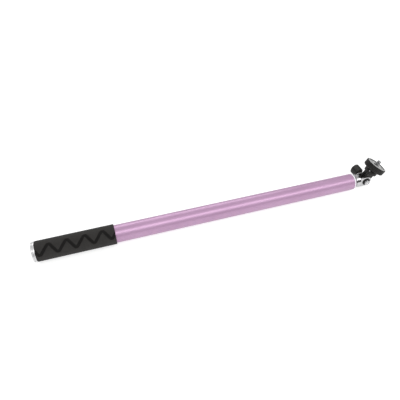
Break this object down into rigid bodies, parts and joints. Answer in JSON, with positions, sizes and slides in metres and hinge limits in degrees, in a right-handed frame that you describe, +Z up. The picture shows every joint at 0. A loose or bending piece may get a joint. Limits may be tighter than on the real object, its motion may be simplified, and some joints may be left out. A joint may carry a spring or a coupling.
{
  "type": "selfie stick",
  "caption": "Telescoping hand stick with foam grip, lacquered tube, twist-lock inner tubes and a tilting black camera head with a threaded stud and lock wheel.",
  "frame": {"origin": "centre of the end cap's flat rear face, on the axis of the tubes", "axes": "+X along the tubes from the grip to the head, +Z up with the head tilted up, +Y towards the tilt knob"},
  "size_m": [0.5354, 0.0457, 0.0479],
  "materials": {
    "lacquer": "pink-violet pearl lacquer, semi-gloss",
    "foam": "closed-cell foam, dull",
    "chrome": "bright plated",
    "steel": "zinc plated, satin",
    "bare_tube": "drawn tube, satin",
    "white_plastic": "moulded, smooth",
    "lock_plastic": "moulded, matte",
    "head_plastic": "moulded, fine grain",
    "brass": "turned",
    "pad_rubber": "smooth ring with a raised rim"
  },
  "bodies": {
    "handle": {"outer_tube": "lacquer", "grip_sleeve": "foam", "end_cap": "chrome", "end_ring": "chrome", "mouth_bush": "white_plastic"},
    "mid_lock": {"mid_lock_cam": "lock_plastic"},
    "mid_stage": {"mid_tube": "bare_tube", "mid_lock_core": "lock_plastic", "mid_lock_washer": "steel", "mid_lock_screw": "steel", "mid_bush": "lock_plastic"},
    "inner_lock": {"inner_lock_cam": "lock_plastic"},
    "inner_stage": {"inner_tube": "bare_tube", "inner_lock_core": "lock_plastic", "inner_lock_washer": "steel", "inner_lock_screw": "steel", "head_collar": "chrome", "collar_set_screw": "steel", "head_bracket": "chrome", "bracket_screw": "steel", "hinge_bolt": "chrome", "near_washer": "lock_plastic", "far_washer": "lock_plastic", "knob_spacer": "head_plastic"},
    "knob": {"tilt_knob": "head_plastic", "knob_insert": "brass"},
    "head": {"tilt_fork": "head_plastic", "stud_screw": "steel", "stud_pin": "steel"},
    "wheel": {"lock_wheel": "head_plastic", "wheel_pad": "pad_rubber"}
  },
  "joints": [
    {"name": "mid_slide", "type": "slide", "parent": "handle", "child": "mid_lock", "axis": [1, 0, 0], "range_m": [0, 0.4]},
    {"name": "mid_twist", "type": "hinge", "parent": "mid_lock", "child": "mid_stage", "pos_m": [0, 0, 0], "axis": [1, 0, 0], "range_deg": [0, 60]},
    {"name": "inner_slide", "type": "slide", "parent": "mid_stage", "child": "inner_lock", "axis": [1, 0, 0], "range_m": [0, 0.38]},
    {"name": "inner_twist", "type": "hinge", "parent": "inner_lock", "child": "inner_stage", "pos_m": [0, 0, 0], "axis": [1, 0, 0], "range_deg": [0, 60]},
    {"name": "head_tilt", "type": "hinge", "parent": "inner_stage", "child": "head", "pos_m": [0.5058, 0, 0], "axis": [0, -1, 0], "range_deg": [-148, 32]},
    {"name": "knob_turn", "type": "hinge", "parent": "inner_stage", "child": "knob", "pos_m": [0.5058, 0, 0], "axis": [0, 1, 0], "range_deg": [0, 360]},
    {"name": "wheel_turn", "type": "hinge", "parent": "head", "child": "wheel", "pos_m": [0.5058, 0, 0], "axis": [0.5299, 0, 0.848], "range_deg": [0, 360]}
  ]
}
